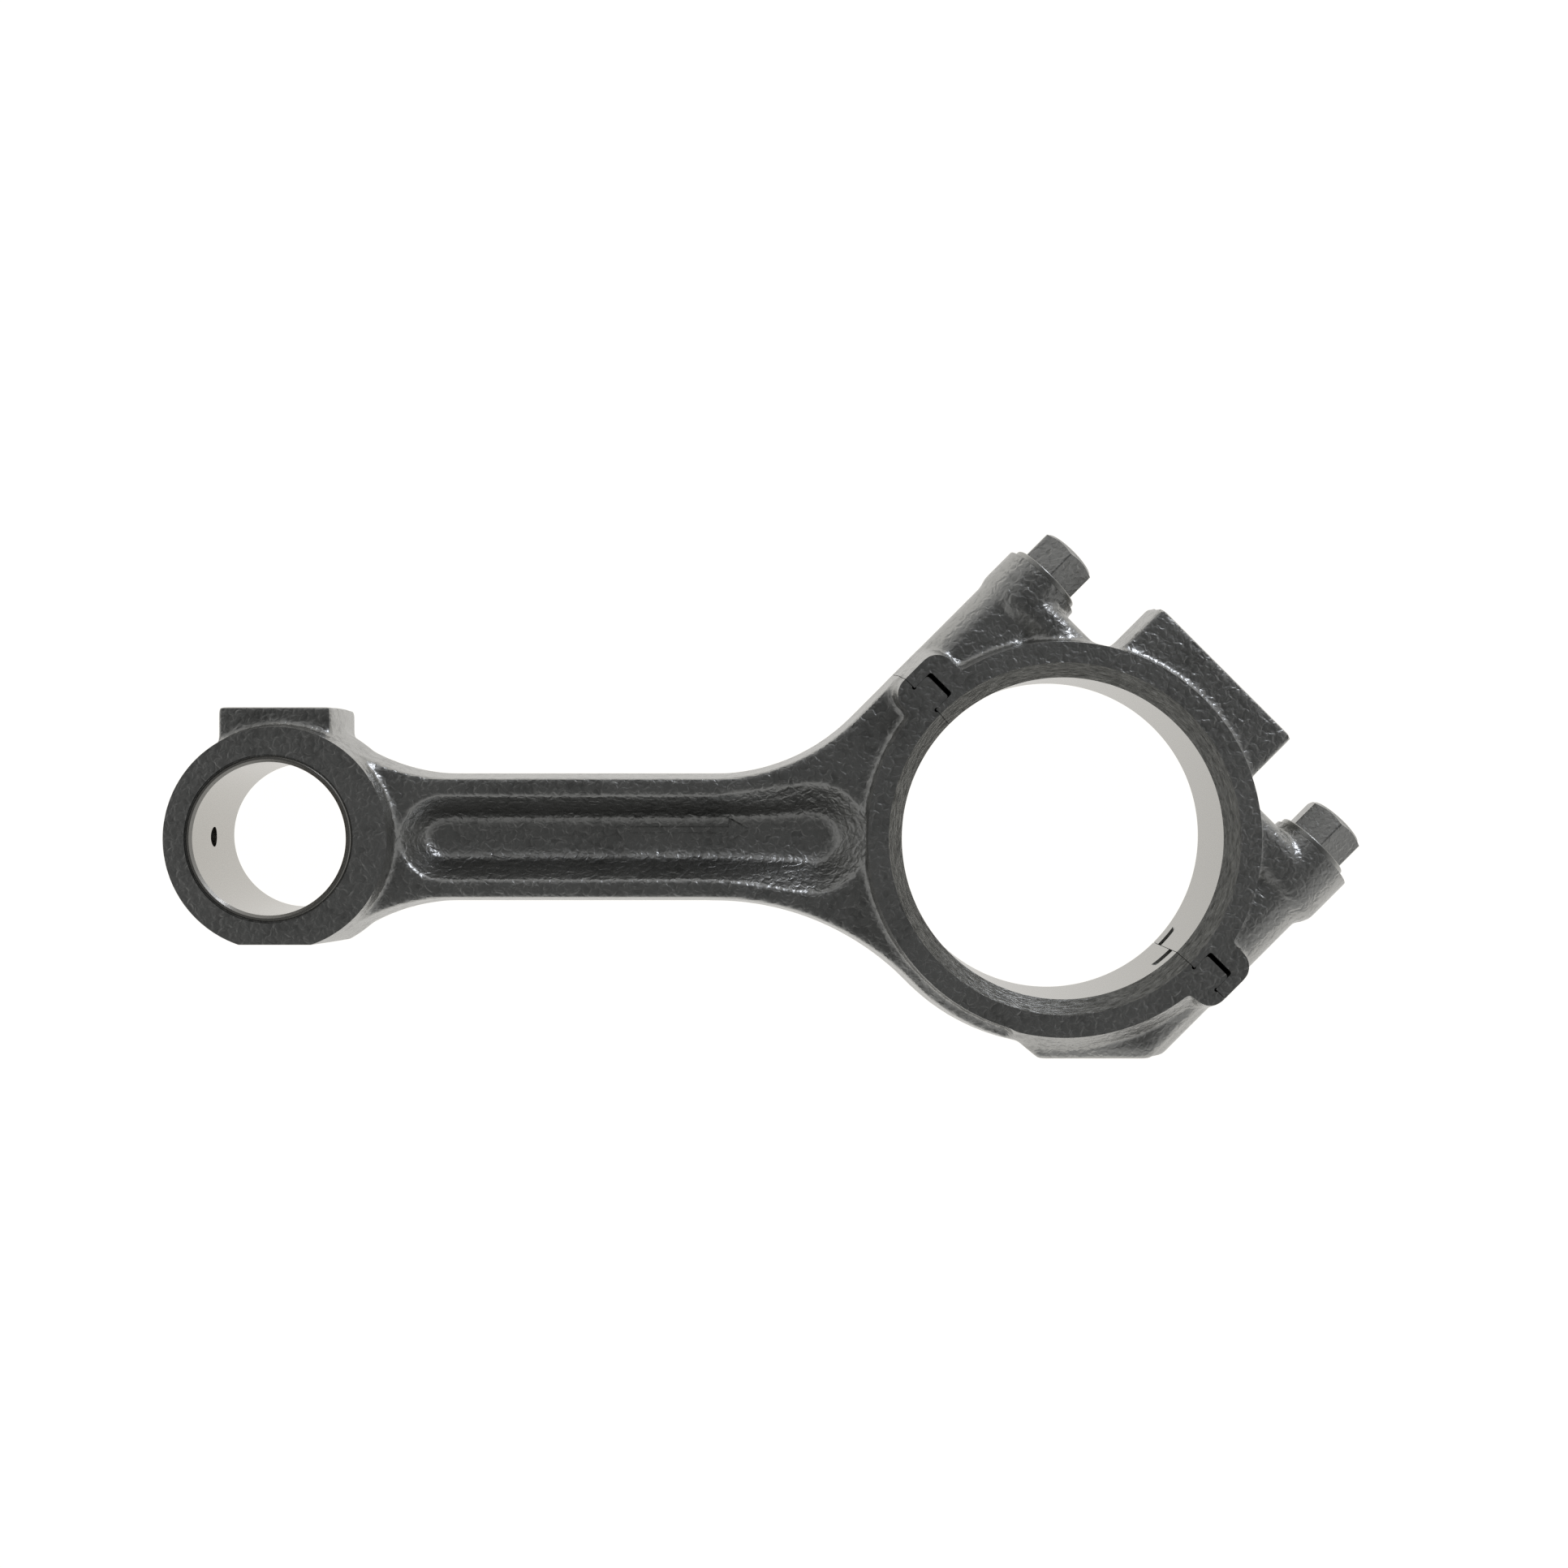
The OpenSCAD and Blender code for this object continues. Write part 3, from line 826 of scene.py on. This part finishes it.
class OBJECT_OT_forgings(Operator):
    """Forge the blank, bore and face it, then split it into the rod and its cap"""
    bl_idname = "rod.forgings"
    bl_label = "Rod and cap"

    def execute(self, context):
        body = machined_blank()
        cap = copy_of(body, "cap_forging")
        combine(body, [split_cutter_for_rod()], "DIFFERENCE")
        combine(cap, [split_cutter_for_cap()], "DIFFERENCE")
        r = size("thread_r")
        places = (size("bolt_half"), -size("bolt_half"))
        taps = [rod_along_bolt("tap", q, r + TAP_PLAY, TAP_END, THREAD_END) for q in places]
        combine(body, [tang_notch(8, 4.2, -1), oil_drill(), *taps], "DIFFERENCE")
        drills = [rod_along_bolt("drill", q, r + DRILL_PLAY, -2, BEYOND) for q in places]
        combine(cap, [tang_notch(-7, 4.0, 1), *drills], "DIFFERENCE")
        body.name = body.data.name = "rod_forging"
        finish_forging(body, "rod", "rod_body")
        finish_forging(cap, "cap", "big_end_cap")
        return {"FINISHED"}


# ---------------------------------------------------------------- bolts, washers and bush


def outline(name, points, closed=True):
    """Line through (radius, height) points, standing in the XZ plane."""
    deselect()
    bpy.ops.mesh.primitive_circle_add(vertices=len(points), radius=1, fill_type="NOTHING")
    obj = settle(name)
    for vertex, (r, z) in zip(obj.data.vertices, points):
        vertex.co = (r * MM, 0, z * MM)
    if not closed:
        for edge in obj.data.edges:
            edge.select = set(edge.vertices) == {0, len(points) - 1}
        for vertex in obj.data.vertices:
            vertex.select = vertex.index in (0, len(points) - 1)
        bpy.ops.object.mode_set(mode="EDIT")
        bpy.ops.mesh.select_mode(type="EDGE")
        bpy.ops.mesh.delete(type="EDGE")
        bpy.ops.object.mode_set(mode="OBJECT")
    return obj


def turned(name, points, closed=True, steps=96):
    """Solid of revolution about Z from an outline of (radius, height) points."""
    obj = outline(name, points, closed)
    apply_modifier(obj, "SCREW", angle=2 * math.pi, steps=steps, render_steps=steps,
                   use_merge_vertices=True, merge_threshold=0.001 * MM)
    return clean(obj)


def threaded_stock(name, z0, z1):
    """Stock with a vee thread that winds up it, cut square at both ends."""
    r, pitch = size("thread_r"), size("pitch")
    root = r - 0.61 * pitch
    start = z0 - THREAD_PHASE * pitch
    obj = outline(name, [(root, start), (r, start + 0.43 * pitch), (r, start + 0.57 * pitch),
                         (root, start + pitch)], closed=False)
    turns = math.ceil((z1 - z0) / pitch) + 2
    apply_modifier(obj, "SCREW", angle=2 * math.pi, screw_offset=pitch * MM, iterations=turns,
                   steps=40, render_steps=40)
    clean(obj, 0.001)
    slice_off(obj, (0, 0, z1), (0, 0, 1))
    slice_off(obj, (0, 0, z0), (0, 0, -1))
    return clean(obj)


def lay_on_bolt(obj, q):
    """Lays an upright piece along its bolt, its zero height at the joint face."""
    obj.rotation_euler = (0, math.pi / 2, DIAGONAL)
    obj.location = bolt_point(0, q)
    take(obj)
    return settle(obj.name)


def hexagon(z0, z1, turn):
    """Hexagon bar for a bolt head, turned by some degrees."""
    deselect()
    bpy.ops.mesh.primitive_cylinder_add(
        vertices=6, radius=size("flats") / math.sqrt(3) * MM, depth=(z1 - z0) * MM,
        location=(0, 0, (z0 + z1) / 2 * MM), rotation=(0, 0, math.radians(30 + turn)))
    return bevel_edges(settle("hexagon"), lambda a, b: abs(a.z - b.z) > 1, 0.35, 3)


def crown(rim, top, rise):
    """Points of the low dome on a bolt head, from its rim to its middle."""
    return [(rim * math.cos(t * math.pi / 16), top + rise * math.sin(t * math.pi / 16))
            for t in range(9)]


def cap_bolt(name, q, turn):
    """Cap bolt with a wound thread, a plain shank and a chamfered, crowned hexagon head."""
    r = size("thread_r")
    base = size("seat") + size("washer_t")
    top = base + size("head")
    rim = size("flats") / 2 - 0.35
    wide = size("flats") / math.sqrt(3) + 0.6
    bolt = threaded_stock(name, BOLT_TIP, THREAD_END + 0.4)
    shank = turned("shank", [(0, THREAD_END - 0.6), (r - 0.55, THREAD_END - 0.6),
                             (r - 0.55, THREAD_END + 1.2), (r - 0.05, THREAD_END + 2.2),
                             (r - 0.05, base - 0.9), (r + 0.25, base + 1), (0, base + 1)],
                   closed=False)
    combine(bolt, [shank, hexagon(base, top + 2, turn)])
    envelope = turned("envelope", [
        (0, BOLT_TIP), (r - 1.1, BOLT_TIP), (r + 0.2, BOLT_TIP + 1.2), (wide, BOLT_TIP + 1.2),
        (wide, top - (wide - rim) * math.tan(math.radians(30))), *crown(rim, top, 1.1)],
        closed=False)
    combine(bolt, [envelope], "INTERSECT")
    return lay_on_bolt(bolt, q)


def finish_metal(obj, finish, body, node, angle=30):
    """Gives a small piece its one finish and its place in the frame."""
    obj.data.materials.clear()
    obj.data.materials.append(material(finish))
    shade(obj, angle)
    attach(obj, body)
    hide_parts(node)


class OBJECT_OT_cap_bolts(Operator):
    """Turn, thread and head the two cap bolts"""
    bl_idname = "rod.cap_bolts"
    bl_label = "Cap bolts"

    def execute(self, context):
        for place, side, turn in (("upper", 1, 0), ("lower", -1, -4)):
            bolt = cap_bolt(f"{place}_cap_bolt", side * size("bolt_half"), turn)
            finish_metal(bolt, "oiled_bolt_steel", f"{place}_bolt",
                         f"cap_bolt_{place}")
        return {"FINISHED"}


class OBJECT_OT_washers(Operator):
    """Turn the two hardened washers with rounded rims"""
    bl_idname = "rod.washers"
    bl_label = "Washers"

    def execute(self, context):
        hole, r = size("thread_r") + DRILL_PLAY, size("washer_r")
        low, high = size("seat"), size("seat") + size("washer_t")
        rim = [(r - 0.45, 0), (r - 0.22, 0.06), (r - 0.06, 0.22), (r, 0.45)]
        for place, side in (("upper", 1), ("lower", -1)):
            washer = turned(f"{place}_hardened_washer", [
                (hole, low + 0.3), (hole + 0.3, low), *[(a, low + b) for a, b in rim],
                *[(a, high - b) for a, b in reversed(rim)], (hole + 0.3, high),
                (hole, high - 0.3)])
            lay_on_bolt(washer, side * size("bolt_half"))
            finish_metal(washer, "hardened_washer_steel", f"{place}_washer",
                         f"washer_{place}", 40)
        return {"FINISHED"}


class OBJECT_OT_bush(Operator):
    """Roll the bush, bore it and drill its oil hole"""
    bl_idname = "rod.bush"
    bl_label = "Small end bush"

    def execute(self, context):
        outer, end, edge = size("bush_r") - 0.01, HALF_WIDTH - 0.02, 0.7
        bush = turned("rolled_bush", [
            (PIN_R, edge - end), (PIN_R + edge, -end), (outer - 0.3, -end),
            (outer, 0.3 - end), (outer, end - 0.3), (outer - 0.3, end),
            (PIN_R + edge, end), (PIN_R, end - edge)], steps=192)
        bush.location.x = SMALL_X * MM
        take(bush)
        settle("rolled_bush")
        combine(bush, [oil_drill()], "DIFFERENCE")
        apply_modifier(bush, "TRIANGULATE")
        clean(bush)
        finish_metal(bush, "bored_bush_metal", "rod", "small_end_bush")
        return {"FINISHED"}


class OBJECT_OT_stage(Operator):
    """Lay the floor, light the rod and aim the camera down its bores"""
    bl_idname = "rod.stage"
    bl_label = "Floor, light and camera"

    def execute(self, context):
        scene = context.scene
        deselect()
        bpy.ops.mesh.primitive_plane_add(size=6, location=(-0.07, 0, -(HALF_WIDTH + 0.02) * MM))
        floor = settle("floor")
        mat, tree = new_material("matt_white_table")
        shader = add(tree, "ShaderNodeBsdfPrincipled", **{
            "Roughness": 0.9, "Base Color": srgb("#303030"),
            "Emission Color": srgb("#fffdfa"), "Emission Strength": 1.04})
        add(tree, "ShaderNodeOutputMaterial", [("Surface", shader.outputs["BSDF"])])
        floor.data.materials.append(mat)

        # A white room whose walls are bright and whose ceiling is dark
        world = bpy.data.worlds.new("studio")
        scene.world = world
        world.use_nodes = True
        tree = world.node_tree
        way = add(tree, "ShaderNodeTexCoord").outputs["Generated"]
        up = add(tree, "ShaderNodeSeparateXYZ", [("Vector", way)]).outputs["Z"]
        greys = {height: (tone, tone, tone, 1)
                 for height, tone in ((0.2, 0.54), (0.5, 0.48), (0.77, 0.28), (0.9, 0.15))}
        ramp = add(tree, "ShaderNodeValToRGB", [("Fac", up)], stops={
            0.0: (0.56, 0.56, 0.555, 1), 1.0: (0.088, 0.09, 0.09, 1), **greys})
        tree.links.new(ramp.outputs["Color"], tree.nodes["Background"].inputs["Color"])

        aim = Vector((-0.07, 0, 0))
        for name, azimuth, elevation, distance, extent, power in (
                ("cool_window", 58, 32, 1.4, (0.34, 0.2), 4.5),
                ("cool_lamp", 70, 16, 1.4, (0.14, 0.14), 0.5)):
            a, e = math.radians(azimuth), math.radians(elevation)
            place = aim + distance * Vector((math.cos(a) * math.cos(e),
                                             math.sin(a) * math.cos(e), math.sin(e)))
            bpy.ops.object.light_add(type="AREA", location=place)
            light = context.object
            light.name = name
            light.data.shape = "RECTANGLE"
            light.data.size, light.data.size_y = extent
            light.data.energy = power
            light.data.color = (0.86, 0.9, 1.0)
            light.rotation_euler = (aim - place).to_track_quat("-Z", "Y").to_euler()

        deselect()
        bpy.ops.object.camera_add(location=(-0.0716, 0.01397, 0.494), rotation=(0, 0, 0))
        camera = context.object
        camera.data.lens = 42.818
        camera.data.sensor_width = 36
        camera.data.clip_start, camera.data.clip_end = 0.01, 20
        scene.camera = camera
        scene.view_settings.view_transform = "Standard"
        return {"FINISHED"}


class VIEW3D_PT_rod(Panel):
    """Builds the connecting rod piece by piece"""
    bl_idname = "VIEW3D_PT_rod"
    bl_label = "Connecting rod"
    bl_space_type = "VIEW_3D"
    bl_region_type = "UI"
    bl_category = "Rod"

    def draw(self, context):
        for operator in OPERATORS:
            self.layout.operator(operator.bl_idname)
        for group in (context.scene.forging_sizes, context.scene.joint_sizes,
                      context.scene.steel_colours):
            box = self.layout.box()
            for key in group.__annotations__:
                box.prop(group, key)


OPERATORS = (OBJECT_OT_forgings, OBJECT_OT_cap_bolts, OBJECT_OT_washers, OBJECT_OT_bush,
             OBJECT_OT_stage)
CLASSES = (ForgingSizes, JointSizes, SteelColours, *OPERATORS, VIEW3D_PT_rod)


def register():
    for cls in CLASSES:
        bpy.utils.register_class(cls)
    bpy.types.Scene.forging_sizes = PointerProperty(type=ForgingSizes)
    bpy.types.Scene.joint_sizes = PointerProperty(type=JointSizes)
    bpy.types.Scene.steel_colours = PointerProperty(type=SteelColours)


def unregister():
    del bpy.types.Scene.steel_colours
    del bpy.types.Scene.joint_sizes
    del bpy.types.Scene.forging_sizes
    for cls in reversed(CLASSES):
        bpy.utils.unregister_class(cls)


def main():
    register()
    bpy.ops.rod.forgings()
    bpy.ops.rod.cap_bolts()
    bpy.ops.rod.washers()
    bpy.ops.rod.bush()
    bpy.ops.rod.stage()


if __name__ == "__main__":
    main()
